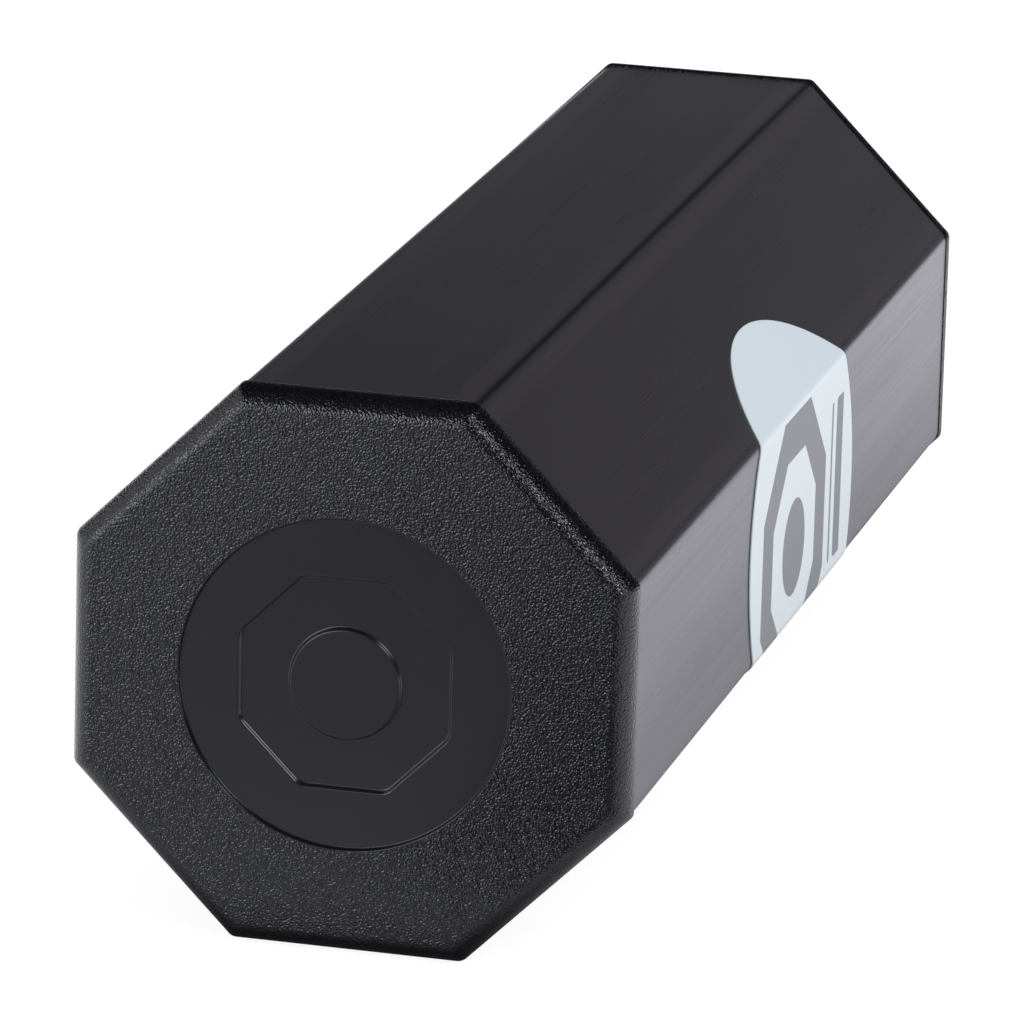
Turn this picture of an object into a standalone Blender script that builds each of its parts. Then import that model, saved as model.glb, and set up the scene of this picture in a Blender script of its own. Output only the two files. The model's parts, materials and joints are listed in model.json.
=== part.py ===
# Octagonal percussion shaker: an extruded aluminium tube closed by two moulded caps,
# with loose steel shot inside and a vinyl label wrapped over the tube.
# Metres, +Z up. The tube runs along Y, the front cap faces -Y, and the shaker lies
# on one pair of flats with its origin under the middle of it.

import bpy
import bmesh
from math import ceil, cos, floor, pi, radians, sin, sqrt, tan
from mathutils import Matrix, Vector

MM = 0.001

# Whole shaker, in millimetres
OVERALL_LENGTH = 134.0
CAP_ACROSS_FLATS = 50.0

# Tube
TUBE_INSET = 0.2              # the caps stand proud of each flat of the tube by this
TUBE_WALL = 1.5
TUBE_CORNER_RADIUS = 0.5
BORE_CORNER_RADIUS = 0.4
TUBE_END_CHAMFER = 0.15

# Cap, outside
CAP_CORNER_RADIUS = 0.9
RIM_DEPTH = 2.25              # part of the cap that lies outside the tube
RIM_ROUND_ACROSS = 2.3        # rounding of the rim, seen from the end
RIM_ROUND_ALONG = 1.85        # the same rounding, along the tube
RIM_BACK_CHAMFER = 0.12
END_WALL = 2.6
DISC_RADIUS = 14.75
DISC_DEPTH = 0.35
FIGURE_ACROSS_FLATS = 19.0    # octagonal recess in the disc
FIGURE_CORNER_RADIUS = 1.5
FIGURE_DEPTH = 0.3
ISLAND_RADIUS = 5.0           # round island left standing in that recess
WALL_DRAFT = 0.12             # width of the sloped wall of each shallow recess

# Cap, plug inside the tube
SEAT_GAP = 0.1                # between the cap's shoulder and the tube's end
PLUG_CLEARANCE = 0.3
PLUG_CORNER_RELIEF = 0.6      # added to the bore's corner radius
PLUG_DEPTH = 9.0
PLUG_WALL = 1.6
PLUG_DRAFT_DEGREES = 0.75
LEAD_IN_LENGTH = 1.2
LEAD_IN_WIDTH = 0.4
CRUSH_RIB_CLEARANCE = 0.05    # between a rib's crest and the bore
CRUSH_RIB_FOOT = 1.6
CRUSH_RIB_CREST = 0.7
CRUSH_RIB_STOP = 0.5          # bare stretch between a rib and each end of the plug
GUSSET_THICKNESS = 1.2
GUSSET_REACH = 4.5            # along the end wall
GUSSET_HEIGHT = 5.0           # along the plug
WELD_DEPTH = 0.5              # how far ribs and gussets run into the wall that carries them

# Shot
SHOT_DIAMETER = 4.5
SHOT_CLEARANCE = 0.3
SHOT_FILL = 0.6               # share of a lane's length that the shot takes up

# Label
LABEL_LENGTH = 43.8
LABEL_WIDTH = 40.2
LABEL_TILT_DEGREES = -29.6
LABEL_DROP = 1.65             # its middle lies this far below the middle of the flat
LABEL_THICKNESS = 0.12
LABEL_GAP = 0.03

# Facets
SIDES = 8
CORNER_STEPS = 4
TUBE_CORNER_STEPS = 3
RIM_STEPS = 5
LABEL_ROWS = 24
SHOT_SEGMENTS = 12
SHOT_RINGS = 6

# Sizes that follow
HALF_TURN = radians(180 / SIDES)
TUBE_ACROSS_FLATS = CAP_ACROSS_FLATS - 2 * TUBE_INSET
TUBE_LENGTH = OVERALL_LENGTH - 2 * (RIM_DEPTH + SEAT_GAP)
BORE_ACROSS_FLATS = TUBE_ACROSS_FLATS - 2 * TUBE_WALL
PLUG_ACROSS_FLATS = BORE_ACROSS_FLATS - 2 * PLUG_CLEARANCE
PLUG_END = RIM_DEPTH + SEAT_GAP + PLUG_DEPTH
AXIS_HEIGHT = CAP_ACROSS_FLATS / 2


def clear_scene():
    for item in list(bpy.data.objects):
        bpy.data.objects.remove(item, do_unlink=True)


def make_material(name, colour, roughness, metallic=0.0):
    material = bpy.data.materials.new(name)
    material.use_nodes = True
    shader = material.node_tree.nodes["Principled BSDF"]
    shader.inputs["Base Color"].default_value = (*colour, 1.0)
    shader.inputs["Roughness"].default_value = roughness
    shader.inputs["Metallic"].default_value = metallic
    return material


def add_object(name, mesh, material, parent, place=(0, 0, 0), turn=0.0):
    item = bpy.data.objects.new(name, mesh)
    bpy.context.scene.collection.objects.link(item)
    item.parent = parent
    item.location = [value * MM for value in place]
    item.rotation_euler = (0, 0, turn)
    if not mesh.materials:
        mesh.materials.append(material)
    return item


def add_empty(name, parent, place):
    return_value = bpy.data.objects.new(name, None)
    bpy.context.scene.collection.objects.link(return_value)
    return_value.parent = parent
    return_value.location = [value * MM for value in place]
    return_value.empty_display_size = 10 * MM
    return return_value


# Section outlines: lists of (x, z) points in millimetres, anticlockwise from +X

def octagon(across_flats, corner_radius, steps=CORNER_STEPS):
    """Octagon with flats at the top, bottom and sides, and each corner an arc."""
    middle = (across_flats / 2 - corner_radius) / cos(HALF_TURN)
    points = []
    for corner in range(SIDES):
        toward = (2 * corner + 1) * HALF_TURN
        for step in range(steps + 1):
            angle = toward + HALF_TURN * (2 * step / steps - 1)
            points.append((middle * cos(toward) + corner_radius * cos(angle),
                           middle * sin(toward) + corner_radius * sin(angle)))
    return points


def circle(radius, steps=CORNER_STEPS):
    """Circle with as many points as the octagon, in step with its corners."""
    count = SIDES * (steps + 1)
    first = HALF_TURN - pi / count * steps
    return [(radius * cos(first + 2 * pi * i / count), radius * sin(first + 2 * pi * i / count))
            for i in range(count)]


def add_ring(bm, outline, along):
    return [bm.verts.new((x * MM, along * MM, z * MM)) for x, z in outline]


def skin(bm, rings, closed=False):
    """Faces between neighbouring rings, and from the last back to the first if closed."""
    pairs = list(zip(rings, rings[1:]))
    if closed:
        pairs.append((rings[-1], rings[0]))
    for low, high in pairs:
        count = len(low)
        for i in range(count):
            j = (i + 1) % count
            bm.faces.new((low[i], high[i], high[j], low[j]))


def finish_mesh(bm, name, smooth_degrees=30):
    bmesh.ops.recalc_face_normals(bm, faces=bm.faces)
    mesh = bpy.data.meshes.new(name)
    bm.to_mesh(mesh)
    bm.free()
    mesh.shade_smooth()
    mesh.set_sharp_from_angle(angle=radians(smooth_degrees))
    return mesh


# Tube

def tube_mesh():
    """Octagonal extrusion: out along the outer skin and back through the bore."""
    half = TUBE_LENGTH / 2
    chamfer = TUBE_END_CHAMFER
    outer = (TUBE_ACROSS_FLATS, TUBE_CORNER_RADIUS)
    bore = (BORE_ACROSS_FLATS, BORE_CORNER_RADIUS)
    path = [(outer, -chamfer, -half), (outer, 0, -half + chamfer),
            (outer, 0, half - chamfer), (outer, -chamfer, half),
            (bore, chamfer, half), (bore, 0, half - chamfer),
            (bore, 0, -half + chamfer), (bore, chamfer, -half)]
    bm = bmesh.new()
    rings = [add_ring(bm, octagon(width + 2 * grow, corner, TUBE_CORNER_STEPS), along)
             for (width, corner), grow, along in path]
    skin(bm, rings, closed=True)
    return finish_mesh(bm, "tube")


# Caps, modelled with the outer face at y = 0 and the plug towards +y

def rim_rings():
    """Quarter ellipse from the flat face round to the side of the rim."""
    rings = []
    for step in range(RIM_STEPS + 1):
        angle = pi / 2 * step / RIM_STEPS
        inset = RIM_ROUND_ACROSS * (1 - sin(angle))
        rings.append((octagon(CAP_ACROSS_FLATS - 2 * inset, CAP_CORNER_RADIUS),
                      RIM_ROUND_ALONG * (1 - cos(angle))))
    return rings


def plug_width(along):
    """Outside of the plug across flats, drawn in by the draft away from the shoulder."""
    return PLUG_ACROSS_FLATS - 2 * (along - RIM_DEPTH) * tan(radians(PLUG_DRAFT_DEGREES))


def cap_shell_mesh():
    floor_level = DISC_DEPTH + FIGURE_DEPTH
    lead_in_start = PLUG_END - LEAD_IN_LENGTH
    plug_corner = BORE_CORNER_RADIUS + PLUG_CORNER_RELIEF
    hollow_mouth = plug_width(lead_in_start) - 2 * PLUG_WALL
    hollow_floor = hollow_mouth - 2 * (PLUG_END - END_WALL) * tan(radians(PLUG_DRAFT_DEGREES))
    profile = [
        (circle(ISLAND_RADIUS - WALL_DRAFT), DISC_DEPTH),
        (circle(ISLAND_RADIUS), floor_level),
        (octagon(FIGURE_ACROSS_FLATS - 2 * WALL_DRAFT, FIGURE_CORNER_RADIUS), floor_level),
        (octagon(FIGURE_ACROSS_FLATS, FIGURE_CORNER_RADIUS), DISC_DEPTH),
        (circle(DISC_RADIUS - WALL_DRAFT), DISC_DEPTH),
        (circle(DISC_RADIUS), 0),
        *rim_rings(),
        (octagon(CAP_ACROSS_FLATS, CAP_CORNER_RADIUS), RIM_DEPTH - RIM_BACK_CHAMFER),
        (octagon(CAP_ACROSS_FLATS - 2 * RIM_BACK_CHAMFER, CAP_CORNER_RADIUS), RIM_DEPTH),
        (octagon(plug_width(RIM_DEPTH), plug_corner), RIM_DEPTH),
        (octagon(plug_width(lead_in_start), plug_corner), lead_in_start),
        (octagon(plug_width(lead_in_start) - 2 * LEAD_IN_WIDTH, plug_corner), PLUG_END),
        (octagon(hollow_mouth, plug_corner), PLUG_END),
        (octagon(hollow_floor, plug_corner), END_WALL),
    ]
    bm = bmesh.new()
    rings = [add_ring(bm, outline, along) for outline, along in profile]
    skin(bm, rings)
    bm.faces.new(rings[0])
    bm.faces.new(rings[-1])
    return finish_mesh(bm, "cap_shell"), hollow_floor, hollow_mouth


def add_prism(bm, section, thickness, turn):
    """Flat section in (reach, along) points, given thickness, turned about the cap's axis."""
    spin = Matrix.Rotation(-turn, 4, "Y")
    sides = []
    for offset in (-thickness / 2, thickness / 2):
        sides.append([bm.verts.new(spin @ Vector((reach * MM, along * MM, offset * MM)))
                      for reach, along in section])
    count = len(section)
    for i in range(count):
        j = (i + 1) % count
        bm.faces.new((sides[0][i], sides[1][i], sides[1][j], sides[0][j]))
    bm.faces.new(sides[0])
    bm.faces.new(sides[1])


def add_crush_rib(bm, turn):
    """Tapered rib on the middle of one flat, from its foot in the plug to its crest."""
    first = RIM_DEPTH + CRUSH_RIB_STOP
    last = PLUG_END - LEAD_IN_LENGTH - CRUSH_RIB_STOP
    crest = BORE_ACROSS_FLATS / 2 - CRUSH_RIB_CLEARANCE
    spin = Matrix.Rotation(-turn, 4, "Y")
    stations = []
    for along, run_out in ((first, 0), (last, PLUG_CLEARANCE - CRUSH_RIB_CLEARANCE)):
        foot = plug_width(along) / 2 - WELD_DEPTH
        back = along + run_out
        section = [(foot, along, -CRUSH_RIB_FOOT / 2), (crest, along, -CRUSH_RIB_CREST / 2),
                   (crest, along, CRUSH_RIB_CREST / 2), (foot, along, CRUSH_RIB_FOOT / 2)]
        section = [(reach, back if reach == foot else at, across) for reach, at, across in section]
        stations.append([bm.verts.new(spin @ Vector((reach * MM, at * MM, across * MM)))
                         for reach, at, across in section])
    skin(bm, stations)
    bm.faces.new(stations[0])
    bm.faces.new(stations[1])


def cap_ribs_mesh(hollow_floor, hollow_mouth):
    bm = bmesh.new()
    for side in range(SIDES):
        add_crush_rib(bm, 2 * side * HALF_TURN)
        wall_floor = hollow_floor / 2 / cos(HALF_TURN)
        wall_mouth = hollow_mouth / 2 / cos(HALF_TURN)
        share = GUSSET_HEIGHT / (PLUG_END - END_WALL)
        wall_top = wall_floor + (wall_mouth - wall_floor) * share
        gusset = [(wall_floor - GUSSET_REACH, END_WALL - WELD_DEPTH),
                  (wall_floor + WELD_DEPTH, END_WALL - WELD_DEPTH),
                  (wall_top + WELD_DEPTH, END_WALL + GUSSET_HEIGHT),
                  (wall_top - PLUG_CORNER_RELIEF, END_WALL + GUSSET_HEIGHT),
                  (wall_floor - GUSSET_REACH, END_WALL + PLUG_CORNER_RELIEF)]
        add_prism(bm, gusset, GUSSET_THICKNESS, (2 * side + 1) * HALF_TURN)
    return finish_mesh(bm, "cap_ribs")


def cap_mesh():
    """Moulded cap: the turned-out shell with its ribs and gussets joined on."""
    shell_mesh, hollow_floor, hollow_mouth = cap_shell_mesh()
    shell = add_object("cap_shell", shell_mesh, None, None)
    ribs = add_object("cap_ribs", cap_ribs_mesh(hollow_floor, hollow_mouth), None, None)
    join = shell.modifiers.new("join_ribs", "BOOLEAN")
    join.operation = "UNION"
    join.solver = "EXACT"
    join.object = ribs
    graph = bpy.context.evaluated_depsgraph_get()
    mesh = bpy.data.meshes.new_from_object(shell.evaluated_get(graph))
    mesh.name = "cap"
    mesh.materials.clear()
    for helper in (shell, ribs):
        bpy.data.objects.remove(helper, do_unlink=True)
    return mesh


# Label

def girth_point(along_girth, lift):
    """Point above the tube's skin, from the distance round it above the +X flat's middle."""
    flat_half = (TUBE_ACROSS_FLATS / 2 - TUBE_CORNER_RADIUS) * tan(HALF_TURN)
    corner_run = 2 * HALF_TURN * TUBE_CORNER_RADIUS
    pitch = 2 * flat_half + corner_run
    facet = floor((along_girth + flat_half) / pitch)
    local = along_girth - facet * pitch
    angle = 0.0
    if local > flat_half:
        angle = (local - flat_half) / TUBE_CORNER_RADIUS
        local = flat_half
    reach = TUBE_ACROSS_FLATS / 2 - TUBE_CORNER_RADIUS
    out = TUBE_CORNER_RADIUS + lift
    x = reach + out * cos(angle)
    z = local + out * sin(angle)
    turn = facet * 2 * HALF_TURN
    return x * cos(turn) - z * sin(turn), x * sin(turn) + z * cos(turn)


def label_rows(reach):
    """Distances round the tube of the label's rows, with one at each step of a corner."""
    flat_half = (TUBE_ACROSS_FLATS / 2 - TUBE_CORNER_RADIUS) * tan(HALF_TURN)
    corner_run = 2 * HALF_TURN * TUBE_CORNER_RADIUS
    pitch = 2 * flat_half + corner_run
    rows = [-reach * cos(pi * i / LABEL_ROWS) - LABEL_DROP for i in range(1, LABEL_ROWS)]
    low, high = -reach - LABEL_DROP, reach - LABEL_DROP
    corners = []
    for facet in range(-ceil(SIDES / 2), ceil(SIDES / 2)):
        start = facet * pitch + flat_half
        corners += [start + corner_run * step / TUBE_CORNER_STEPS
                    for step in range(TUBE_CORNER_STEPS + 1)]
    corners = [value for value in corners if low + corner_run < value < high - corner_run]
    rows = [value for value in rows
            if all(abs(value - corner) > corner_run / TUBE_CORNER_STEPS for corner in corners)]
    return sorted(rows + corners)


def label_mesh():
    """Thin oval wrapped round the tube: each row spans the tilted oval at its height."""
    half_length, half_width = LABEL_LENGTH / 2, LABEL_WIDTH / 2
    lean = radians(LABEL_TILT_DEGREES)
    spread_along = (half_length * cos(lean)) ** 2 + (half_width * sin(lean)) ** 2
    spread_round = (half_length * sin(lean)) ** 2 + (half_width * cos(lean)) ** 2
    shear = (half_length ** 2 - half_width ** 2) * sin(lean) * cos(lean)
    reach = sqrt(spread_round)
    bm = bmesh.new()
    rings = []
    for height in label_rows(reach):
        offset = height + LABEL_DROP
        middle = shear / spread_round * offset
        half = sqrt(max(0.0, 1 - offset ** 2 / spread_round)
                    * (spread_along - shear ** 2 / spread_round))
        inner = girth_point(height, LABEL_GAP)
        outer = girth_point(height, LABEL_GAP + LABEL_THICKNESS)
        rings.append([bm.verts.new((x * MM, along * MM, z * MM)) for (x, z), along in (
            (inner, middle - half), (outer, middle - half),
            (outer, middle + half), (inner, middle + half))])
    skin(bm, rings)
    bm.faces.new(rings[0])
    bm.faces.new(rings[-1])
    return finish_mesh(bm, "label", 10)


# Shot

def shot_mesh():
    bm = bmesh.new()
    bmesh.ops.create_uvsphere(bm, u_segments=SHOT_SEGMENTS, v_segments=SHOT_RINGS,
                              radius=SHOT_DIAMETER / 2 * MM)
    return finish_mesh(bm, "shot", 180)


def shot_layout():
    """Lane centres across the tube's floor, and how many balls lie in each lane."""
    pitch = SHOT_DIAMETER + SHOT_CLEARANCE
    depth = BORE_ACROSS_FLATS / 2 - SHOT_CLEARANCE - SHOT_DIAMETER / 2
    reach = depth * tan(HALF_TURN)
    lanes = floor(2 * reach / pitch) + 1
    lane_length = OVERALL_LENGTH - 2 * (PLUG_END + SHOT_CLEARANCE)
    per_lane = floor(lane_length * SHOT_FILL / pitch)
    travel = (lane_length - (per_lane - 1) * pitch - SHOT_DIAMETER) / 2
    centres = [(lane - (lanes - 1) / 2) * pitch for lane in range(lanes)]
    return centres, per_lane, pitch, -depth, travel


def build():
    clear_scene()
    frame = add_empty("shaker", None, (0, 0, AXIS_HEIGHT))

    anodised = make_material("black_anodised_aluminium", (0.035, 0.033, 0.036), 0.35, 0.8)
    add_object("body_tube", tube_mesh(), anodised, frame)

    moulded = make_material("grained_black_abs", (0.022, 0.023, 0.025), 0.55)
    cap = cap_mesh()
    add_object("front_cap", cap, moulded, frame, (0, -OVERALL_LENGTH / 2, 0))
    add_object("rear_cap", cap, moulded, frame, (0, OVERALL_LENGTH / 2, 0), pi)

    vinyl = make_material("white_vinyl", (0.76, 0.79, 0.84), 0.4)
    add_object("label", label_mesh(), vinyl, frame)

    steel = make_material("polished_steel", (0.55, 0.55, 0.56), 0.2, 1.0)
    ball = shot_mesh()
    centres, per_lane, pitch, level, travel = shot_layout()
    for lane, across in enumerate(centres, 1):
        axis = add_empty(f"lane_{lane}", frame, (across, 0, level))
        for number in range(per_lane):
            along = (number - (per_lane - 1) / 2) * pitch
            add_object(f"shot_{lane}_{number + 1:02d}", ball, steel, axis, (0, along, 0))
    print(f"lanes at {[round(x, 3) for x in centres]} mm, height {AXIS_HEIGHT + level:.3f} mm,"
          f" {per_lane} balls each, travel {travel:.3f} mm each way")


build()
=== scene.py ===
import json
from math import cos, pi, radians, sin, sqrt, tan

import bpy
import numpy as np
from mathutils import Matrix, Vector


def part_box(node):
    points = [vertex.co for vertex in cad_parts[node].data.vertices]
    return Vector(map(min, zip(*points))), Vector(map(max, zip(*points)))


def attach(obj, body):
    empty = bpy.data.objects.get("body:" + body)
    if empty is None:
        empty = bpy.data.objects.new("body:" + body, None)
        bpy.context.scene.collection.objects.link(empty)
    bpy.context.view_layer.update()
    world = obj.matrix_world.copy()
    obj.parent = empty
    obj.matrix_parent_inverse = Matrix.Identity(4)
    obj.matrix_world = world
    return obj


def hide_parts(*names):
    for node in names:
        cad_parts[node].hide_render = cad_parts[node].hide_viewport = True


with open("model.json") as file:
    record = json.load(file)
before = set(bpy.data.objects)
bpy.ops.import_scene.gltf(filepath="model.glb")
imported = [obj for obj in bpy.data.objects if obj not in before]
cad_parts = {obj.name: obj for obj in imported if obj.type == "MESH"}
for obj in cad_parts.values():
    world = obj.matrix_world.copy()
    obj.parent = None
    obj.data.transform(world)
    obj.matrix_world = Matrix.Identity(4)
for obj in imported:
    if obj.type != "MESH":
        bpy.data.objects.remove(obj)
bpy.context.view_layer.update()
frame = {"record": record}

mm = 0.001  # sizes in the dictionaries below are millimetres
sides = 8  # the tube and the caps are octagons
halfTurn = radians(180 / sides)


def srgb(text):
    # hex colour to linear light, by the two parts of the sRGB curve
    part = np.array([int(text[i:i + 2], 16) for i in (1, 3, 5)]) / 255
    return tuple(np.where(part <= 0.04045, part / 12.92, ((part + 0.055) / 1.055) ** 2.4)) + (1.0,)


def addNode(tree, kind, settings=None, links=None):
    # settings go to the node's own properties or to its sockets, links to its sockets
    node = tree.nodes.new(kind)
    for key, value in (settings or {}).items():
        if isinstance(key, str) and hasattr(node, key):
            setattr(node, key, value)
        else:
            node.inputs[key].default_value = value
    for key, source in (links or {}).items():
        tree.links.new(source, node.inputs[key])
    return node


def startMaterial(name):
    # a node material, with the shader that it starts from
    material = bpy.data.materials.new(name)
    material.use_nodes = True
    tree = material.node_tree
    shader = tree.nodes["Principled BSDF"]
    return material, tree, shader


def objectCoords(tree, scale=(1, 1, 1)):
    # Object coordinates turned to millimetres, then stretched
    where = addNode(tree, "ShaderNodeTexCoord")
    size = tuple(1000 * value for value in scale)
    return addNode(tree, "ShaderNodeMapping", {"Scale": size}, {"Vector": where.outputs["Object"]}).outputs[0]


def addPiece(name, points, faces, materials, slots=None, smoothDegrees=None):
    # points in millimetres, faces as lists of indices
    mesh = bpy.data.meshes.new(name)
    mesh.from_pydata((np.asarray(points, float) * mm).tolist(), [], faces)
    for material in materials:
        mesh.materials.append(material)
    if slots is not None:
        mesh.polygons.foreach_set("material_index", np.asarray(slots, dtype=np.int32))
    mesh.shade_smooth()
    if smoothDegrees is not None:
        mesh.set_sharp_from_angle(angle=radians(smoothDegrees))
    mesh.update()
    piece = bpy.data.objects.new(name, mesh)
    bpy.context.scene.collection.objects.link(piece)
    return piece


def gridFaces(rows, columns, closeRows=False, flip=False):
    # quads of a grid whose columns close on themselves, and its rows too where asked
    row, column = np.meshgrid(np.arange(rows if closeRows else rows - 1), np.arange(columns), indexing="ij")
    below, right = (row + 1) % rows, (column + 1) % columns
    quads = np.stack([row * columns + column, row * columns + right,
                      below * columns + right, below * columns + column], -1).reshape(-1, 4)
    return (quads[:, ::-1] if flip else quads).tolist()


def octagonRing(acrossFlats, cornerRadius, steps, hold=0.04):
    # each corner is an arc of its radius about a middle on the corner's bisector, and flats join the arcs;
    # a point just past each end of an arc keeps the shading of the flats flat
    toward = (2 * np.arange(sides) + 1) * halfTurn
    turn = halfTurn * np.concatenate([[-1], np.linspace(-1, 1, steps + 1), [1]])
    past = hold * np.concatenate([[-1], np.zeros(steps + 1), [1]])
    angle = toward[:, None] + turn[None, :]
    middle = (acrossFlats / 2 - cornerRadius) / cos(halfTurn)
    x = middle * np.cos(toward)[:, None] + cornerRadius * np.cos(angle) - past * np.sin(angle)
    z = middle * np.sin(toward)[:, None] + cornerRadius * np.sin(angle) + past * np.cos(angle)
    return np.stack([x.ravel(), z.ravel()], -1)


def roundRing(radius, steps):
    # circle with the octagon's number of points, in step with its corners
    count = sides * (steps + 3)
    angle = halfTurn + (np.arange(count) - (steps + 2) / 2) * 2 * pi / count
    return radius * np.stack([np.cos(angle), np.sin(angle)], -1)


# The whole shaker, from the frame
low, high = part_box("front_cap")
lowRear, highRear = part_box("rear_cap")
lowTube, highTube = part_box("body_tube")
shaker = {
    "length": (highRear.y - low.y) / mm,
    "capAcross": (high.x - low.x) / mm,
    "tubeAcross": (highTube.x - lowTube.x) / mm,
    "tubeLength": (highTube.y - lowTube.y) / mm,
    "axisHeight": (high.z + low.z) / 2 / mm,
}
print("frame read:", {key: round(value, 3) for key, value in shaker.items()})


# Camera

cameraView = {
    "azimuth": 14.1805,  # degrees round from the front cap towards the label side
    "elevation": 16.0126,
    "roll": 1.567,
    "distance": 757.07,
    "aside": (2.8014, 3.1171),  # the shaker's middle, right of and above the middle of the view
    "focal": 285.382,
    "sensor": 36.0,
}


def addCamera():
    # looks along a line at that azimuth and elevation, rolled about it
    s = cameraView
    az, el, roll = (radians(s[key]) for key in ("azimuth", "elevation", "roll"))
    back = Vector((sin(az) * cos(el), -cos(az) * cos(el), sin(el)))
    level = Vector((cos(az), sin(az), 0))
    up = back.cross(level)
    right = level * cos(roll) + up * sin(roll)
    top = up * cos(roll) - level * sin(roll)
    middle = Vector((0, 0, shaker["axisHeight"]))
    place = middle - right * s["aside"][0] - top * s["aside"][1] + back * s["distance"]
    camera = bpy.data.objects.new("camera", bpy.data.cameras.new("camera"))
    camera.data.lens, camera.data.sensor_width = s["focal"], s["sensor"]
    camera.data.clip_start, camera.data.clip_end = 0.01, 20
    turn = Matrix((right, top, back)).transposed().to_4x4()
    camera.matrix_world = Matrix.Translation(place * mm) @ turn
    bpy.context.scene.collection.objects.link(camera)
    bpy.context.scene.camera = camera


addCamera()
print("camera placed")


# Materials

anodised = {
    "dye": "#343134",
    "dyeLight": "#3f3c42",
    "grazeTint": "#f0f0fd",
    "metallic": 0.6,  # bare aluminium shows through the dyed oxide
    "roughness": (0.20, 0.30),
    "lineSpacing": 0.4,  # mm between brush lines, as coarse as the view needs to show them
    "lineLength": 60.0,
    "lineDepth": 0.0022,
    "driftSpacing": 6.0,  # mm across and along the slower change of roughness
    "driftLength": 60.0,
    # mm from a corner of the octagon, and how bright the colour is painted there: painted shade along each
    # corner, a painted highlight in a band beside it; the corners themselves stay smooth
    "cornerPaintedShadeAndHighlight": ((0.0, 0.35), (0.12, 0.4), (0.36, 0.95), (1.1, 1.28), (2.2, 1.2), (3.2, 1.0)),
}


def cornerPaintedLight(tree):
    # painted shade at each corner and a painted highlight beside it, as a share of the colour by the distance
    # from the nearest corner of the octagon, round the tube
    s = anodised
    pitch = shaker["tubeAcross"] * halfTurn / cos(halfTurn) ** 2  # mm round the tube for a flat, at a corner
    farthest = s["cornerPaintedShadeAndHighlight"][-1][0]
    where = addNode(tree, "ShaderNodeSeparateXYZ", None, {0: objectCoords(tree)})
    height = addNode(tree, "ShaderNodeMath", {"operation": "SUBTRACT", 1: shaker["axisHeight"]},
                     {0: where.outputs[2]})
    angle = addNode(tree, "ShaderNodeMath", {"operation": "ARCTAN2"},
                    {0: height.outputs[0], 1: where.outputs[0]})
    flats = addNode(tree, "ShaderNodeMath", {"operation": "DIVIDE", 1: 2 * halfTurn}, {0: angle.outputs[0]})
    aside = addNode(tree, "ShaderNodeMath", {"operation": "PINGPONG", 1: 0.5}, {0: flats.outputs[0]})
    away = addNode(tree, "ShaderNodeMapRange", {"From Min": 0.5, "From Max": 0.5 - farthest / pitch},
                   {"Value": aside.outputs[0]})
    curve = addNode(tree, "ShaderNodeValToRGB", None, {0: away.outputs[0]})
    curve.color_ramp.interpolation = "EASE"
    stops = curve.color_ramp.elements
    for distance, _ in s["cornerPaintedShadeAndHighlight"][1:-1]:
        stops.new(distance / farthest)
    for stop, (distance, share) in zip(stops, s["cornerPaintedShadeAndHighlight"]):
        stop.position, stop.color = distance / farthest, (share / 2,) * 3 + (1,)
    return curve.outputs[0]


def blackAnodisedAluminium():
    # aluminium brushed along the tube, etched and dyed black: dark flats, silver where they graze the light
    s = anodised
    material, tree, shader = startMaterial("blackAnodisedAluminium")
    across, along = 1 / s["lineSpacing"], 1 / s["lineLength"]
    lines = addNode(tree, "ShaderNodeTexNoise", {"Scale": 1.0, "Detail": 2.0, "Roughness": 0.6},
                    {"Vector": objectCoords(tree, (across, along, across))})
    across, along = 1 / s["driftSpacing"], 1 / s["driftLength"]
    drift = addNode(tree, "ShaderNodeTexNoise", {"Scale": 1.0, "Detail": 2.0},
                    {"Vector": objectCoords(tree, (across, along, across))})
    dye = addNode(tree, "ShaderNodeMix", {"data_type": "RGBA", 6: srgb(s["dye"]), 7: srgb(s["dyeLight"])},
                  {0: lines.outputs[0]})
    # the brush-line colour times the painted corner shade and highlight, then doubled
    shaded = addNode(tree, "ShaderNodeVectorMath", {"operation": "MULTIPLY"},
                     {0: dye.outputs[2], 1: cornerPaintedLight(tree)})
    shaded = addNode(tree, "ShaderNodeVectorMath", {"operation": "SCALE", "Scale": 2.0},
                     {0: shaded.outputs[0]})
    both = addNode(tree, "ShaderNodeMath", {"operation": "ADD"}, {0: lines.outputs[0], 1: drift.outputs[0]})
    smoothest, roughest = s["roughness"]  # at the sum of the two noises where both run low, and high
    rough = addNode(tree, "ShaderNodeMapRange", {"From Min": 0.6, "From Max": 1.4, "To Min": smoothest,
                                                 "To Max": roughest}, {"Value": both.outputs[0]})
    bump = addNode(tree, "ShaderNodeBump", {"Strength": 1.0, "Distance": s["lineDepth"] * mm},
                   {"Height": lines.outputs[0]})
    tree.links.new(shaded.outputs[0], shader.inputs["Base Color"])
    tree.links.new(rough.outputs[0], shader.inputs["Roughness"])
    tree.links.new(bump.outputs[0], shader.inputs["Normal"])
    shader.inputs["Metallic"].default_value = s["metallic"]
    shader.inputs["Specular Tint"].default_value = srgb(s["grazeTint"])
    return material


moulded = {
    # pits painted darker as shade in the grain
    "pitPaintedShade": "#040405",
    "crestColour": "#0e0e10",
    "polishedColours": ("#0d0d0e", "#0f0f10"),
    "sheen": "#edefff",  # carbon black leaves a cold sheen
    "grainSize": 0.19,  # mm from grain to grain
    "grainDepth": 0.044,
    "grainRange": (-0.4, 0.4),  # heights of the grain that are its pits and its tops
    "roughness": 0.1,
    "polishedRoughness": (0.20, 0.24),
    "ripplesPerMm": 0.35,
    "rippleDepth": 0.01,
    "ior": 1.5,
}


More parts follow.
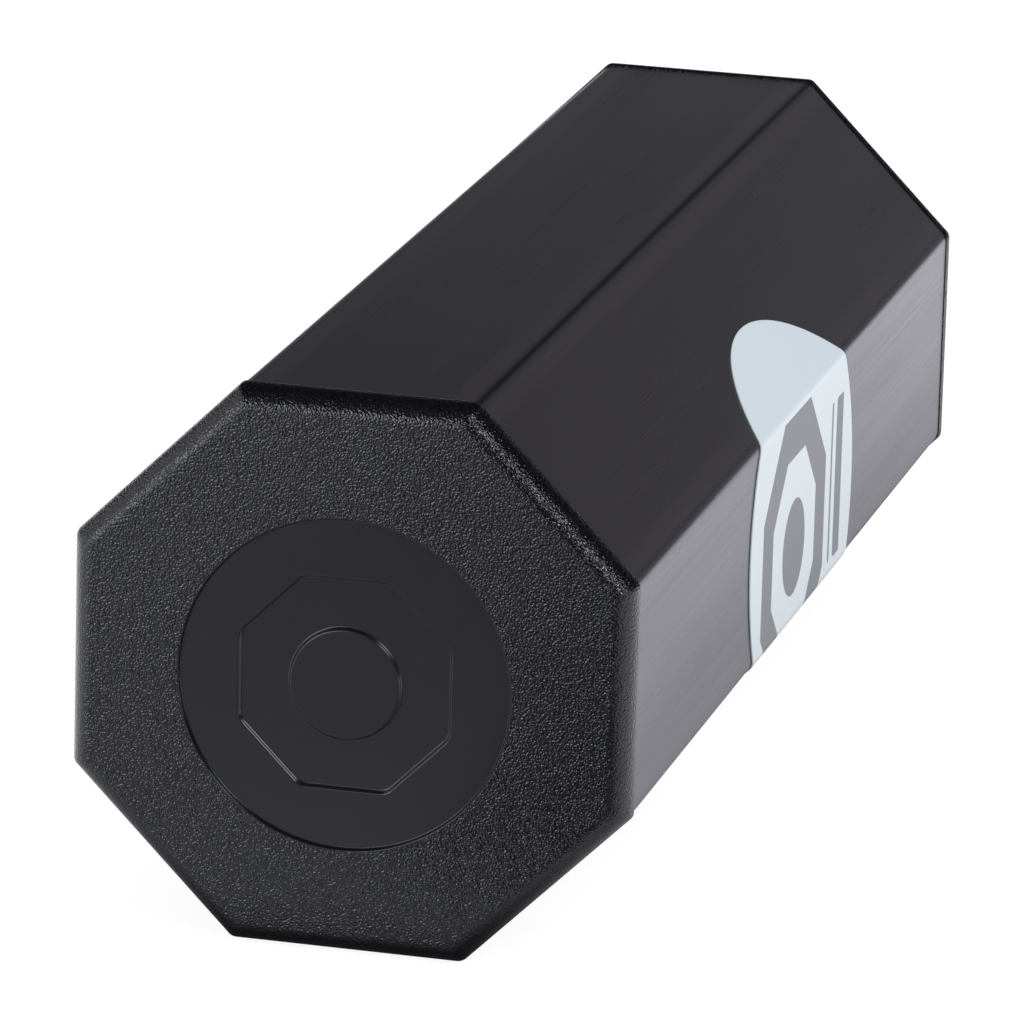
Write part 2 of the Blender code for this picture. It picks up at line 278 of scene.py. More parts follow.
def sparkErodedAbs():
    # black ABS from a spark-eroded mould: rounded grains that sparkle where light grazes, over pits painted
    # darker as shade
    s = moulded
    material, tree, shader = startMaterial("sparkErodedAbs")
    where, grainsPerMm = objectCoords(tree), 1 / s["grainSize"]
    coarse = addNode(tree, "ShaderNodeTexNoise", {"Scale": grainsPerMm, "Detail": 1.0, "Roughness": 0.4},
                     {"Vector": where})
    cells = addNode(tree, "ShaderNodeTexVoronoi", {"feature": "SMOOTH_F1", "Scale": grainsPerMm,
                                                   "Smoothness": 0.6}, {"Vector": where})
    height = addNode(tree, "ShaderNodeMath", {"operation": "SUBTRACT"},
                     {0: coarse.outputs[0], 1: cells.outputs["Distance"]})
    lowest, highest = s["grainRange"]
    crest = addNode(tree, "ShaderNodeMapRange", {"From Min": lowest, "From Max": highest},
                    {"Value": height.outputs[0]})
    bump = addNode(tree, "ShaderNodeBump", {"Strength": 1.0, "Distance": s["grainDepth"] * mm},
                   {"Height": crest.outputs[0]})
    # the colour runs from painted shade in the pits to the plain black of the tops
    deep, pale = srgb(s["pitPaintedShade"]), srgb(s["crestColour"])
    colour = addNode(tree, "ShaderNodeMix", {"data_type": "RGBA", 6: deep, 7: pale}, {0: crest.outputs[0]})
    tree.links.new(bump.outputs[0], shader.inputs["Normal"])
    tree.links.new(colour.outputs[2], shader.inputs["Base Color"])
    shader.inputs["Roughness"].default_value = s["roughness"]
    shader.inputs["IOR"].default_value = s["ior"]
    shader.inputs["Specular Tint"].default_value = srgb(s["sheen"])
    return material


def polishedAbs():
    # the same ABS where the mould was polished: a satin floor with a faint ripple of flow
    s = moulded
    material, tree, shader = startMaterial("polishedAbs")
    ripple = addNode(tree, "ShaderNodeTexNoise", {"Scale": s["ripplesPerMm"], "Detail": 2.0},
                     {"Vector": objectCoords(tree)})
    bump = addNode(tree, "ShaderNodeBump", {"Strength": 1.0, "Distance": s["rippleDepth"] * mm},
                   {"Height": ripple.outputs[0]})
    deep, pale = (srgb(value) for value in s["polishedColours"])
    colour = addNode(tree, "ShaderNodeMix", {"data_type": "RGBA", 6: deep, 7: pale}, {0: ripple.outputs[0]})
    smoothest, roughest = s["polishedRoughness"]
    rough = addNode(tree, "ShaderNodeMapRange", {"To Min": smoothest, "To Max": roughest},
                    {"Value": ripple.outputs[0]})
    tree.links.new(bump.outputs[0], shader.inputs["Normal"])
    tree.links.new(colour.outputs[2], shader.inputs["Base Color"])
    tree.links.new(rough.outputs[0], shader.inputs["Roughness"])
    shader.inputs["IOR"].default_value = s["ior"]
    shader.inputs["Specular Tint"].default_value = srgb(s["sheen"])
    return material


print("materials ready")


# Tube

tubeSizes = {
    "cornerRadius": 1.2,
    "boreCornerRadius": 0.4,
    "wall": 1.5,
    "endChamfer": 0.15,
    "cornerSteps": 12,
}


def brushedTube():
    # octagonal ring carried out along the skin, over the end and back through the bore
    s = tubeSizes
    half, chamfer, steps = shaker["tubeLength"] / 2, s["endChamfer"], s["cornerSteps"]
    outer = (shaker["tubeAcross"], s["cornerRadius"])
    bore = (shaker["tubeAcross"] - 2 * s["wall"], s["boreCornerRadius"])
    path = [(outer, -chamfer, -half), (outer, 0, -half + chamfer), (outer, 0, half - chamfer),
            (outer, -chamfer, half), (bore, chamfer, half), (bore, 0, half - chamfer),
            (bore, 0, -half + chamfer), (bore, chamfer, -half)]
    rings = []
    for (width, corner), grow, along in path:
        ring = octagonRing(width + 2 * grow, corner, steps)
        height = ring[:, 1] + shaker["axisHeight"]
        rings.append(np.column_stack([ring[:, 0], np.full(len(ring), along), height]))
    faces = gridFaces(len(rings), len(rings[0]), closeRows=True)
    return addPiece("brushedTube", np.concatenate(rings), faces, [blackAnodisedAluminium()], smoothDegrees=40)


tube = brushedTube()
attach(tube, "shell")
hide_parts("body_tube")
print("tube made")


# Caps

capSizes = {
    "cornerRadius": 0.9,
    "rimDepth": 2.25,
    "skirt": 0.6,  # the rim's thin lip over the tube's end
    "skirtDraft": 0.13,
    "skirtGap": 0.02,
    "rimAcross": 1.95,
    "rimAlong": 2.45,
    "endWall": 2.6,
    "discRadius": 14.75,
    "discAside": (-0.33, -0.60),  # its middle from the cap's, as seen in the photo
    "discDepth": 0.35,
    "figureAcross": 19.0,
    "figureCorner": 1.5,
    "figureDepth": 0.3,
    "islandRadius": 5.0,
    "wallDraft": 0.12,  # width of the sloped wall round the disc
    "figureDraft": 0.24,  # and round the figure and its island
    "edgeRound": 0.12,  # rounding of each shallow edge
    "hold": 0.04,  # from a rounding to the ring that keeps the shading beside it flat
    "seatGap": 0.1,
    "plugClearance": 0.3,
    "plugCornerRelief": 0.6,
    "plugDepth": 9.0,
    "plugWall": 1.6,
    "plugDraft": 0.75,  # degrees
    "leadInLength": 1.2,
    "leadInWidth": 0.4,
    "ribClearance": 0.05,
    "ribCrest": 0.7,
    "ribStop": 0.5,
    "gussetThickness": 1.2,
    "gussetReach": 4.5,
    "gussetHeight": 5.0,
    "weld": 0.4,
    "cornerSteps": 12,
    "rimSteps": 16,
    "roundSteps": 4,
}


def capProfile():
    # rings from the middle of the outer face, over the rim and the plug, to the middle of the inner face
    s = capSizes
    steps = s["cornerSteps"]
    across = shaker["capAcross"]
    boreAcross = shaker["tubeAcross"] - 2 * tubeSizes["wall"]
    plugCorner = tubeSizes["boreCornerRadius"] + s["plugCornerRelief"]
    plugEnd = s["rimDepth"] + s["seatGap"] + s["plugDepth"]
    leadIn = plugEnd - s["leadInLength"]
    draft = tan(radians(s["plugDraft"]))

    def plugAt(along):
        return boreAcross - 2 * s["plugClearance"] - 2 * (along - s["rimDepth"]) * draft

    rows = []  # outline, place along the axis, material of the band that follows
    grained, polished = 0, 1

    def step(shape, inner, outer, start, end, material):
        # one shallow wall, rounded at top and foot by cosine steps, between rings that keep the flats flat
        hold = s["hold"]
        rows.append((shape(inner - hold), start, material))
        for t in np.linspace(0, 1, 2 * s["roundSteps"] + 1):
            blend = (1 - cos(pi * t)) / 2
            rows.append((shape(inner + (outer - inner) * t), start + (end - start) * blend, material))
        rows.append((shape(outer + hold), end, material))

    def disc(radius):
        return roundRing(radius, steps) + s["discAside"]

    def figure(width):
        return octagonRing(width, s["figureCorner"], steps) + s["discAside"]

    def rim(width):
        return octagonRing(width, s["cornerRadius"], steps)

    def plug(width):
        return octagonRing(width, plugCorner, steps)

    shallow, deep = s["discDepth"], s["discDepth"] + s["figureDepth"]
    slope, edge = s["figureDraft"], s["edgeRound"]
    rows.append((disc(0.5), shallow, polished))
    step(disc, s["islandRadius"] - slope, s["islandRadius"] + edge, shallow, deep, polished)
    step(figure, s["figureAcross"] - 2 * slope - edge, s["figureAcross"] + edge, deep, shallow, polished)
    step(disc, s["discRadius"] - s["wallDraft"], s["discRadius"] + edge, shallow, 0, polished)
    rows[-1] = (rows[-1][0], rows[-1][1], grained)
    rows.append((rim(across - 2 * s["rimAcross"] - 2 * s["hold"]), 0, grained))
    for t in np.linspace(0, pi / 2, s["rimSteps"] + 1):
        inset = s["rimAcross"] * (1 - sin(t))
        rows.append((rim(across - 2 * inset), s["rimAlong"] * (1 - cos(t)), grained))
    lip = s["rimDepth"] + s["skirt"]
    overTube = octagonRing(shaker["tubeAcross"] + 2 * s["skirtGap"], tubeSizes["cornerRadius"], steps)
    mouth = plugAt(leadIn) - 2 * s["plugWall"]
    innerFloor = mouth - 2 * (plugEnd - s["endWall"]) * draft
    rows.append((rim(across - 2 * s["skirtDraft"]), lip, grained))
    inside = [(overTube, lip), (overTube, s["rimDepth"]), (plug(plugAt(s["rimDepth"])), s["rimDepth"]),
              (plug(plugAt(leadIn)), leadIn), (plug(plugAt(leadIn) - 2 * s["leadInWidth"]), plugEnd),
              (plug(mouth), plugEnd), (plug(innerFloor), s["endWall"])]
    rows += [(ring, along, polished) for ring, along in inside]
    return rows, innerFloor, mouth, plugEnd, plugAt, boreAcross


def prism(section, thickness, turn):
    # flat section of (reach, along) points given a thickness and turned about the axis
    section = np.asarray(section, float)
    count = len(section)
    points = []
    for offset in (-thickness / 2, thickness / 2):
        x = section[:, 0] * cos(turn) - offset * sin(turn)
        z = section[:, 0] * sin(turn) + offset * cos(turn)
        points.append(np.column_stack([x, section[:, 1], z]))
    faces = [[i, (i + 1) % count, count + (i + 1) % count, count + i] for i in range(count)]
    faces += [list(range(count))[::-1], list(range(count, 2 * count))]
    return np.concatenate(points), faces


def capPiece(name, rear, materials):
    # the profile's rings closed at both ends, with a gusset in each corner and a crush rib on each flat;
    # the rear cap is the front one turned half round the upright line
    s = capSizes
    rows, innerFloor, mouth, plugEnd, plugAt, boreAcross = capProfile()
    columns = len(rows[0][0])
    points = [np.column_stack([ring[:, 0], np.full(columns, along), ring[:, 1]]) for ring, along, _ in rows]
    faces = gridFaces(len(rows), columns)
    slots = np.repeat([material for _, _, material in rows[:-1]], columns).tolist()
    faces += [list(range(columns))[::-1], list(range((len(rows) - 1) * columns, len(rows) * columns))]
    slots += [1, 1]
    total = len(rows) * columns

    def join(extra):
        nonlocal total
        morePoints, moreFaces = extra
        points.append(morePoints)
        faces.extend([[i + total for i in face] for face in moreFaces])
        slots.extend([1] * len(moreFaces))
        total += len(morePoints)

    wallFloor, wallMouth = innerFloor / 2 / cos(halfTurn), mouth / 2 / cos(halfTurn)
    wallTop = wallFloor + (wallMouth - wallFloor) * s["gussetHeight"] / (plugEnd - s["endWall"])
    base, top = s["endWall"], s["endWall"] + s["gussetHeight"]
    gusset = [(wallFloor - s["gussetReach"], base - s["weld"]), (wallFloor + s["weld"], base - s["weld"]),
              (wallTop + s["weld"], top), (wallTop - s["plugCornerRelief"], top),
              (wallFloor - s["gussetReach"], base + s["plugCornerRelief"])]
    first, last = s["rimDepth"] + s["ribStop"], plugEnd - s["leadInLength"] - s["ribStop"]
    crest = boreAcross / 2 - s["ribClearance"]
    runOut = s["plugClearance"] - s["ribClearance"]
    rib = [(plugAt(first) / 2 - s["weld"], first), (crest, first), (crest, last),
           (plugAt(last) / 2 - s["weld"], last + runOut)]
    for side in range(sides):
        join(prism(gusset, s["gussetThickness"], (2 * side + 1) * halfTurn))
        join(prism(rib, s["ribCrest"], 2 * side * halfTurn))
    points = np.concatenate(points)
    if rear:
        points[:, :2] *= -1
        points[:, 1] += shaker["length"] / 2
    else:
        points[:, 1] -= shaker["length"] / 2
    points[:, 2] += shaker["axisHeight"]
    return addPiece(name, points, faces, materials, slots, smoothDegrees=35)


capMaterials = [sparkErodedAbs(), polishedAbs()]
for name, node, rear in (("frontCapMoulding", "front_cap", False), ("rearCapMoulding", "rear_cap", True)):
    cap = capPiece(name, rear, capMaterials)
    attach(cap, "shell")
    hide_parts(node)
print("caps made")


# Label

labelSizes = {
    "length": 43.8,
    "width": 40.2,
    "tilt": -29.6,  # degrees
    "drop": 1.65,
    "thickness": 0.12,
    "gap": 0.03,
    "rows": 120,
    "columns": 60,
    "cornerRows": 9,  # more rows over each corner of the tube
    "leastStep": 0.002,  # mm between two rows
}


def girthRuns():
    # the tube's skin unrolled: how far out its arcs have their middles, half a flat, and an arc's length
    reach = shaker["tubeAcross"] / 2 - tubeSizes["cornerRadius"]
    return reach, reach * tan(halfTurn), 2 * halfTurn * tubeSizes["cornerRadius"]


def girthPoint(aroundGirth, lift):
    # a distance round the tube, from the middle of the +X flat, lifted off the skin: flats and arcs in turn
    reach, flatHalf, cornerRun = girthRuns()
    pitch = 2 * flatHalf + cornerRun
    facet = np.floor((aroundGirth + flatHalf) / pitch)
    local = aroundGirth - facet * pitch
    angle = np.clip(local - flatHalf, 0, None) / tubeSizes["cornerRadius"]
    out = tubeSizes["cornerRadius"] + lift
    x = reach + out * np.cos(angle)
    z = np.minimum(local, flatHalf) + out * np.sin(angle)
    turn = facet * 2 * halfTurn
    return x * np.cos(turn) - z * np.sin(turn), x * np.sin(turn) + z * np.cos(turn)


def cornerRows(lowest, highest):
    # distances round the tube, evenly spaced over the arc of each corner between two limits
    _, flatHalf, cornerRun = girthRuns()
    starts = np.arange(-sides // 2, sides // 2) * (2 * flatHalf + cornerRun) + flatHalf
    rows = (starts[:, None] + cornerRun * np.linspace(0, 1, labelSizes["cornerRows"])).ravel()
    return rows[(rows > lowest) & (rows < highest)]


def vinylLabel(material):
    # the oval on the unrolled skin: rows at even angles, each spanning the tilted oval, then wrapped round
    s = labelSizes
    a, b, lean = s["length"] / 2, s["width"] / 2, radians(s["tilt"])
    alongSquare = (a * cos(lean)) ** 2 + (b * sin(lean)) ** 2
    roundSquare = (a * sin(lean)) ** 2 + (b * cos(lean)) ** 2
    shear = (a * a - b * b) * sin(lean) * cos(lean)
    reach = sqrt(roundSquare)
    even = -reach * np.cos(np.linspace(0.01, pi - 0.01, s["rows"])) - s["drop"]
    heights = np.sort(np.concatenate([even, cornerRows(even[0], even[-1])]))
    heights = heights[np.concatenate([[True], np.diff(heights) > s["leastStep"]])]
    offset = heights + s["drop"]
    middle = shear / roundSquare * offset
    half = np.sqrt(np.clip(1 - offset ** 2 / roundSquare, 0, None) * (alongSquare - shear ** 2 / roundSquare))
    across = np.linspace(-1, 1, s["columns"] + 1)
    rings, unrolled = [], []
    for height, mid, wide in zip(heights, middle, half):
        inner, outer = girthPoint(height, s["gap"]), girthPoint(height, s["gap"] + s["thickness"])
        y = mid + wide * across
        flat = np.column_stack([y, np.full(len(y), height), np.zeros(len(y))])
        unrolled += [flat, flat[::-1]]
        top = np.column_stack([np.full(len(y), outer[0]), y, np.full(len(y), outer[1])])
        under = np.column_stack([np.full(len(y), inner[0]), y[::-1], np.full(len(y), inner[1])])
        rings.append(np.concatenate([top, under]))
    points = np.concatenate(rings)
    points[:, 2] += shaker["axisHeight"]
    columns = len(rings[0])
    faces = gridFaces(len(rings), columns)
    faces += [list(range(columns))[::-1], list(range((len(rings) - 1) * columns, len(rings) * columns))]
    piece = addPiece("vinylLabel", points, faces, [material], smoothDegrees=50)
    place = piece.data.attributes.new("unrolled", "FLOAT_VECTOR", "POINT")
    place.data.foreach_set("vector", np.concatenate(unrolled).astype(np.float32).ravel())
    return piece


labelPrint = {
    "white": "#c0cad2",
    "ink": "#61656f",
    "octagon": (-3.5, -3.2),  # middle of the printed octagon: along the tube, round it
    "octagonAcross": (26.0, 17.6),  # outer and inner, across flats
    "dotRadius": 4.6,
    "bars": (((15.2, -1.2), (1.4, 7.8)), ((12.0, -1.2), (0.35, 7.8))),  # middle and half size of each
    "barCorner": 0.35,
    "soft": 0.03,  # mm over which the ink's edge fades
    "roughness": (0.33, 0.42),  # of the film and of the ink
    "peelPerMm": 0.6,
    "peelDepth": 0.01,
    "ior": 1.46,
}


def printedShare(tree, where):
    # 1 where there is ink; an octagon's distance is the largest of |x|, |y| and (|x| + |y|) / sqrt 2
    s = labelPrint

    def within(distance, edge):
        fade = {"From Min": edge - s["soft"], "From Max": edge + s["soft"], "To Min": 1.0, "To Max": 0.0}
        return addNode(tree, "ShaderNodeMapRange", fade, {"Value": distance}).outputs[0]

    def away(middle):
        moved = addNode(tree, "ShaderNodeVectorMath", {"operation": "SUBTRACT", 1: (*middle, 0)}, {0: where})
        moved = addNode(tree, "ShaderNodeVectorMath", {"operation": "ABSOLUTE"}, {0: moved.outputs[0]})
        return moved.outputs[0]

    fromMiddle = away(s["octagon"])
    parts = addNode(tree, "ShaderNodeSeparateXYZ", None, {0: fromMiddle})
    straight = addNode(tree, "ShaderNodeMath", {"operation": "MAXIMUM"},
                       {0: parts.outputs[0], 1: parts.outputs[1]})
    diagonal = (sqrt(0.5), sqrt(0.5), 0)
    slanted = addNode(tree, "ShaderNodeVectorMath", {"operation": "DOT_PRODUCT", 1: diagonal},
                      {0: fromMiddle})
    octagon = addNode(tree, "ShaderNodeMath", {"operation": "MAXIMUM"},
                      {0: straight.outputs[0], 1: slanted.outputs["Value"]})
    outer, inner = (within(octagon.outputs[0], width / 2) for width in s["octagonAcross"])
    share = addNode(tree, "ShaderNodeMath", {"operation": "SUBTRACT"}, {0: outer, 1: inner})
    reach = addNode(tree, "ShaderNodeVectorMath", {"operation": "LENGTH"}, {0: fromMiddle})
    inked = [within(reach.outputs["Value"], s["dotRadius"])]
    for middle, half in s["bars"]:
        straightPart = tuple(value - s["barCorner"] for value in half) + (0,)
        over = addNode(tree, "ShaderNodeVectorMath", {"operation": "SUBTRACT", 1: straightPart},
                       {0: away(middle)})
        over = addNode(tree, "ShaderNodeVectorMath", {"operation": "MAXIMUM", 1: (0, 0, 0)},
                       {0: over.outputs[0]})
        over = addNode(tree, "ShaderNodeVectorMath", {"operation": "LENGTH"}, {0: over.outputs[0]})
        inked.append(within(over.outputs["Value"], s["barCorner"]))
    for part in inked:
        share = addNode(tree, "ShaderNodeMath", {"operation": "MAXIMUM"}, {0: share.outputs[0], 1: part})
    return share.outputs[0]


def whiteVinyl():
    # screen-printed vinyl film: satin white with a faint orange peel from the adhesive, grey ink a bit duller
    s = labelPrint
    material, tree, shader = startMaterial("whiteVinyl")
    unrolled = addNode(tree, "ShaderNodeAttribute", {"attribute_name": "unrolled"})
    share = printedShare(tree, unrolled.outputs["Vector"])
    white, ink = srgb(s["white"]), srgb(s["ink"])
    colour = addNode(tree, "ShaderNodeMix", {"data_type": "RGBA", 6: white, 7: ink}, {0: share})
    film, inkRoughness = s["roughness"]
    rough = addNode(tree, "ShaderNodeMapRange", {"To Min": film, "To Max": inkRoughness}, {"Value": share})
    peel = addNode(tree, "ShaderNodeTexNoise", {"Scale": s["peelPerMm"], "Detail": 3.0},
                   {"Vector": objectCoords(tree)})
    bump = addNode(tree, "ShaderNodeBump", {"Strength": 1.0, "Distance": s["peelDepth"] * mm},
                   {"Height": peel.outputs[0]})
    tree.links.new(bump.outputs[0], shader.inputs["Normal"])
    tree.links.new(colour.outputs[2], shader.inputs["Base Color"])
    tree.links.new(rough.outputs[0], shader.inputs["Roughness"])
    shader.inputs["IOR"].default_value = s["ior"]
    return material


label = vinylLabel(whiteVinyl())
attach(label, "shell")
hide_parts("label")
print("label made")


# Shot

shot = {
    "rings": 16,
    "segments": 24,
    "pole": 0.02,  # half angle left flat at each pole
    "colour": "#b9b9bb",
    "roughness": (0.12, 0.3),
    "marksPerMm": 4.0,
}


def tumbledSteel():
    # hardened steel balls, tumbled bright: small dull marks where they have knocked together
    material, tree, shader = startMaterial("tumbledSteel")
    marks = addNode(tree, "ShaderNodeTexNoise", {"Scale": shot["marksPerMm"], "Detail": 4.0},
                    {"Vector": objectCoords(tree)})
    bright, dull = shot["roughness"]
    rough = addNode(tree, "ShaderNodeMapRange", {"To Min": bright, "To Max": dull},
                    {"Value": marks.outputs[0]})
    tree.links.new(rough.outputs[0], shader.inputs["Roughness"])
    shader.inputs["Base Color"].default_value = srgb(shot["colour"])
    shader.inputs["Metallic"].default_value = 1.0
    return material


def shotLane(name, nodes, material):
    # a ball is its radius times the sine and cosine of two angles, and each ball of the lane is one copy
    rows, columns, pole = shot["rings"], shot["segments"], shot["pole"]
    polar, turn = np.meshgrid(np.linspace(pole, pi - pole, rows),
                              np.linspace(0, 2 * pi, columns, endpoint=False), indexing="ij")
    unit = np.stack([np.sin(polar) * np.cos(turn), np.sin(polar) * np.sin(turn), np.cos(polar)], -1)
    unit = unit.reshape(-1, 3)
    shape = gridFaces(rows, columns, flip=True)
    shape += [list(range(columns)), list(range((rows - 1) * columns, rows * columns))[::-1]]
    points, faces = [], []
    for node in nodes:
        lowest, highest = (np.array(corner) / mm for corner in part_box(node))
        first = len(points) * len(unit)
        points.append(unit * (highest[2] - lowest[2]) / 2 + (lowest + highest) / 2)
        faces += [[i + first for i in face] for face in shape]
    return addPiece(name, np.concatenate(points), faces, [material], smoothDegrees=60)


steel = tumbledSteel()
for body, nodes in frame["record"]["behaviour"]["bodies"].items():
    if body != "shell":
        lane = shotLane(body.replace("shot_lane_", "steelShotLane"), nodes, steel)
        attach(lane, body)
        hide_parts(*nodes)
print("shot made")


# Floor, backdrop and light

studio = {
    "floorHalf": 2500.0,
    "floorShown": (0.9, 0.2),  # own glow and grey, as the camera sees them
    "floorInGloss": (0.69, 0.62),  # and as the gloss does, where the shaker's shadow counts more
    "paintedShadowDark": 0.05,  # share of that left right under the shaker's edge: a painted shadow in the floor's reflection
    "paintedShadowReach": (45.0, 12.0, 200.0),  # and how far off the painted shadow is gone: beside, before and behind the shaker
    "floorBounce": 0.8,
    "skyShown": 1.0,
    "skyLight": 0.75,
    "fill": {"place": (500, 100, 1000), "size": (900, 900), "power": 4.0},
    "key": {"place": (-904, -1502, 431), "size": (940, 740), "power": 13.8},
    "rightKey": {"place": (570, -470, 560), "size": (300, 300), "power": 2.6},
}

# cards that glow, seen only in the gloss as painted reflections round the shaker: a corner, two edges, and
# the grey at the first edge and at the far one; the dark strip before the shaker and the dark cards low
# behind it are painted shade
cards = {
    "rearCard": ((-1500, 750, 1), (1560, 0, 0), (0, 0, 340), 0.36, 0.0),
    "rearRightCard": ((60, 750, 1), (1440, 0, 0), (0, 0, 340), 0.40, 0.04),
    "highRearCard": ((-1500, 750, 341), (3000, 0, 0), (0, 0, 560), 0.02, 0.02),
    "ceilingCard": ((-700, -900, 900), (1800, 0, 0), (0, 1000, 0), 0.15, 0.02),
    "ceilingRearCard": ((-1500, 100, 900), (3000, 0, 0), (0, 650, 0), 0.02, 0.02),
    "frontCard": ((-1505, -1935, 1), (1677, 0, 0), (0, 0, 1935), 0.13, 0.13),
    "frontRightCard": ((172, -1935, 1), (2193, 0, 0), (0, 0, 1935), 0.02, 0.02),
    "rightCard": ((1100, -900, 60), (0, 1650, 0), (0, 0, 900), 0.2, 0.1),
    "apronCard": ((-60, -79, 0.3), (140, 0, 0), (0, -221, 0), 0.85, 0.0),
    "outerApronCard": ((-60, -300, 0.3), (140, 0, 0), (0, -500, 0), 0.18, 0.18),
    "farApronCard": ((-460, -290, 0.45), (460, 0, 0), (0, -610, 0), 1.0, 3.4),
    "paintedShadeStripCard": ((2, -82, 0.6), (42, 0, 0), (0, -718, 0), 0.14, 0.14),
    "paintedShadeLowRearCard": ((-60, 745, 1), (180, 0, 0), (0, 0, 110), 0.03, 0.03),
    "paintedShadeRearApronCard": ((-90, 150, 0.3), (115, 0, 0), (0, 590, 0), 0.03, 0.03),
}


def shownRays(tree):
    # 1 for rays from the camera and for those seen in a reflection or through glass
    path = addNode(tree, "ShaderNodeLightPath")
    first = addNode(tree, "ShaderNodeMath", {"operation": "MAXIMUM"},
                    {0: path.outputs["Is Camera Ray"], 1: path.outputs["Is Glossy Ray"]})
    return addNode(tree, "ShaderNodeMath", {"operation": "MAXIMUM"},
                   {0: first.outputs[0], 1: path.outputs["Is Transmission Ray"]}).outputs[0]


def paintedFootShadow(tree):
    # painted shadow on the floor as the gloss sees it: the floor's light rises with the distance from the
    # shaker's footprint
    s = studio
    beside, before, behind = s["paintedShadowReach"]
    halfWidth, halfLength = shaker["capAcross"] / 2 * tan(halfTurn), shaker["length"] / 2
    where = addNode(tree, "ShaderNodeSeparateXYZ", None, {0: objectCoords(tree)})
    reach = addNode(tree, "ShaderNodeMath", {"operation": "ABSOLUTE"}, {0: where.outputs[0]})

    def past(value, edge, width):
        # 0 at the footprint's edge and 1 a reach away from it
        span = {"clamp": False, "From Min": edge, "From Max": edge + width}
        return addNode(tree, "ShaderNodeMapRange", span, {"Value": value}).outputs[0]

    ahead, back = past(where.outputs[1], -halfLength, -before), past(where.outputs[1], halfLength, behind)
    across = past(reach.outputs[0], halfWidth, beside)
    along = addNode(tree, "ShaderNodeMath", {"operation": "MAXIMUM"}, {0: ahead, 1: back})
    both = addNode(tree, "ShaderNodeCombineXYZ", None, {0: across, 1: along.outputs[0]})
    both = addNode(tree, "ShaderNodeVectorMath", {"operation": "MAXIMUM", 1: (0, 0, 0)}, {0: both.outputs[0]})
    away = addNode(tree, "ShaderNodeVectorMath", {"operation": "LENGTH"}, {0: both.outputs[0]})
    share = addNode(tree, "ShaderNodeMapRange", {"To Min": s["paintedShadowDark"]}, {"Value": away.outputs["Value"]})
    return share.outputs[0]


def addFloor():
    # one white square: shown rays see its own glow and grey, the gloss less near the shaker by a painted
    # shadow, and others only its bounce
    half = studio["floorHalf"]
    material, tree, shader = startMaterial("whiteSweep")
    tree.nodes.remove(shader)
    (shownGlow, shownGrey), (glossGlow, glossGrey) = studio["floorShown"], studio["floorInGloss"]
    path = addNode(tree, "ShaderNodeLightPath")
    # painted shadow that dims the floor in the gloss near the shaker
    near = paintedFootShadow(tree)

    def dimmed(value):
        return addNode(tree, "ShaderNodeMath", {"operation": "MULTIPLY", 1: value}, {0: near}).outputs[0]

    strength = addNode(tree, "ShaderNodeMapRange", {"To Min": shownGlow},
                       {"Value": path.outputs["Is Glossy Ray"], "To Max": dimmed(glossGlow)})
    paint = addNode(tree, "ShaderNodeMapRange", {"To Min": shownGrey},
                    {"Value": path.outputs["Is Glossy Ray"], "To Max": dimmed(glossGrey)})
    glow = addNode(tree, "ShaderNodeEmission", None, {"Strength": strength.outputs[0]})
    grey = addNode(tree, "ShaderNodeBsdfDiffuse", None, {"Color": paint.outputs[0]})
    both = addNode(tree, "ShaderNodeAddShader", None, {0: glow.outputs[0], 1: grey.outputs[0]})
    bounce = addNode(tree, "ShaderNodeBsdfDiffuse", {"Color": (studio["floorBounce"],) * 3 + (1,)})
    pick = addNode(tree, "ShaderNodeMixShader", None,
                   {0: shownRays(tree), 1: bounce.outputs[0], 2: both.outputs[0]})
    tree.links.new(pick.outputs[0], tree.nodes["Material Output"].inputs["Surface"])
    corners = [(-half, -half, 0), (half, -half, 0), (half, half, 0), (-half, half, 0)]
    sweep = addPiece("whiteSweep", corners, [[0, 1, 2, 3]], [material])


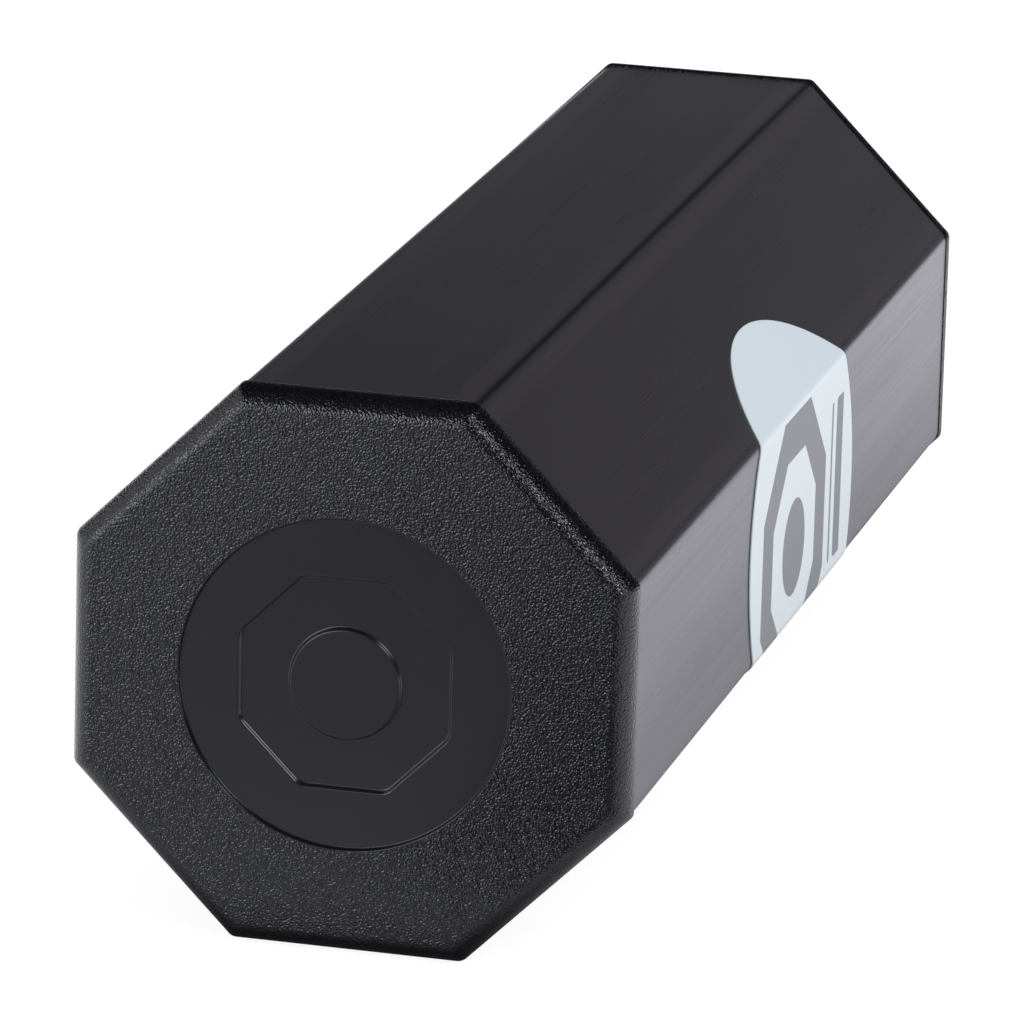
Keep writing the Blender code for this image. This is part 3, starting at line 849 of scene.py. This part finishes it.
def addCard(name, corner, first, second, near, far):
    # a glowing card, a painted reflection: grey from the first edge to the far one, along the second edge
    material, tree, shader = startMaterial(name)
    tree.nodes.remove(shader)
    corner, first, second = Vector(corner), Vector(first), Vector(second)
    where = addNode(tree, "ShaderNodeTexCoord")
    way = second / second.length_squared
    along = addNode(tree, "ShaderNodeVectorMath", {"operation": "DOT_PRODUCT", 1: way / mm},
                    {0: where.outputs["Object"]})
    start = corner.dot(way)
    grey = addNode(tree, "ShaderNodeMapRange", {"From Min": start, "From Max": start + 1, "To Min": near,
                                                "To Max": far}, {"Value": along.outputs["Value"]})
    glow = addNode(tree, "ShaderNodeEmission", None, {"Strength": grey.outputs[0]})
    tree.links.new(glow.outputs[0], tree.nodes["Material Output"].inputs["Surface"])
    corners = [corner, corner + first, corner + first + second, corner + second]
    card = addPiece(name, corners, [[0, 1, 2, 3]], [material])
    card.visible_camera = card.visible_diffuse = card.visible_shadow = False


def addSoftbox(name, place, size, power, shown):
    # a flat lamp that faces the shaker's middle
    lamp = bpy.data.lights.new(name, "AREA")
    lamp.shape, lamp.size, lamp.size_y, lamp.energy = "RECTANGLE", size[0] * mm, size[1] * mm, power
    item = bpy.data.objects.new(name, lamp)
    item.location = [value * mm for value in place]
    aim = Vector((0, 0, shaker["axisHeight"])) - Vector(place)
    item.rotation_euler = aim.to_track_quat("-Z", "Y").to_euler()
    item.visible_camera = False
    item.visible_glossy = shown
    bpy.context.scene.collection.objects.link(item)


def addSky():
    # white where it is seen and dimmer where it only lights
    world = bpy.data.worlds.new("studio")
    bpy.context.scene.world = world
    world.use_nodes = True
    tree = world.node_tree
    background = tree.nodes["Background"]
    background.inputs["Color"].default_value = (1, 1, 1, 1)
    light, shown = studio["skyLight"], studio["skyShown"]
    strength = addNode(tree, "ShaderNodeMapRange", {"To Min": light, "To Max": shown},
                       {"Value": shownRays(tree)})
    tree.links.new(strength.outputs[0], background.inputs["Strength"])


addFloor()
for name, parts in cards.items():
    addCard(name, *parts)
addSky()
addSoftbox("fillAbove", **studio["fill"], shown=False)
addSoftbox("keyFrontLeft", **studio["key"], shown=True)
addSoftbox("keyRight", **studio["rightKey"], shown=True)
bpy.context.scene.view_settings.view_transform = "Standard"
print("studio set")
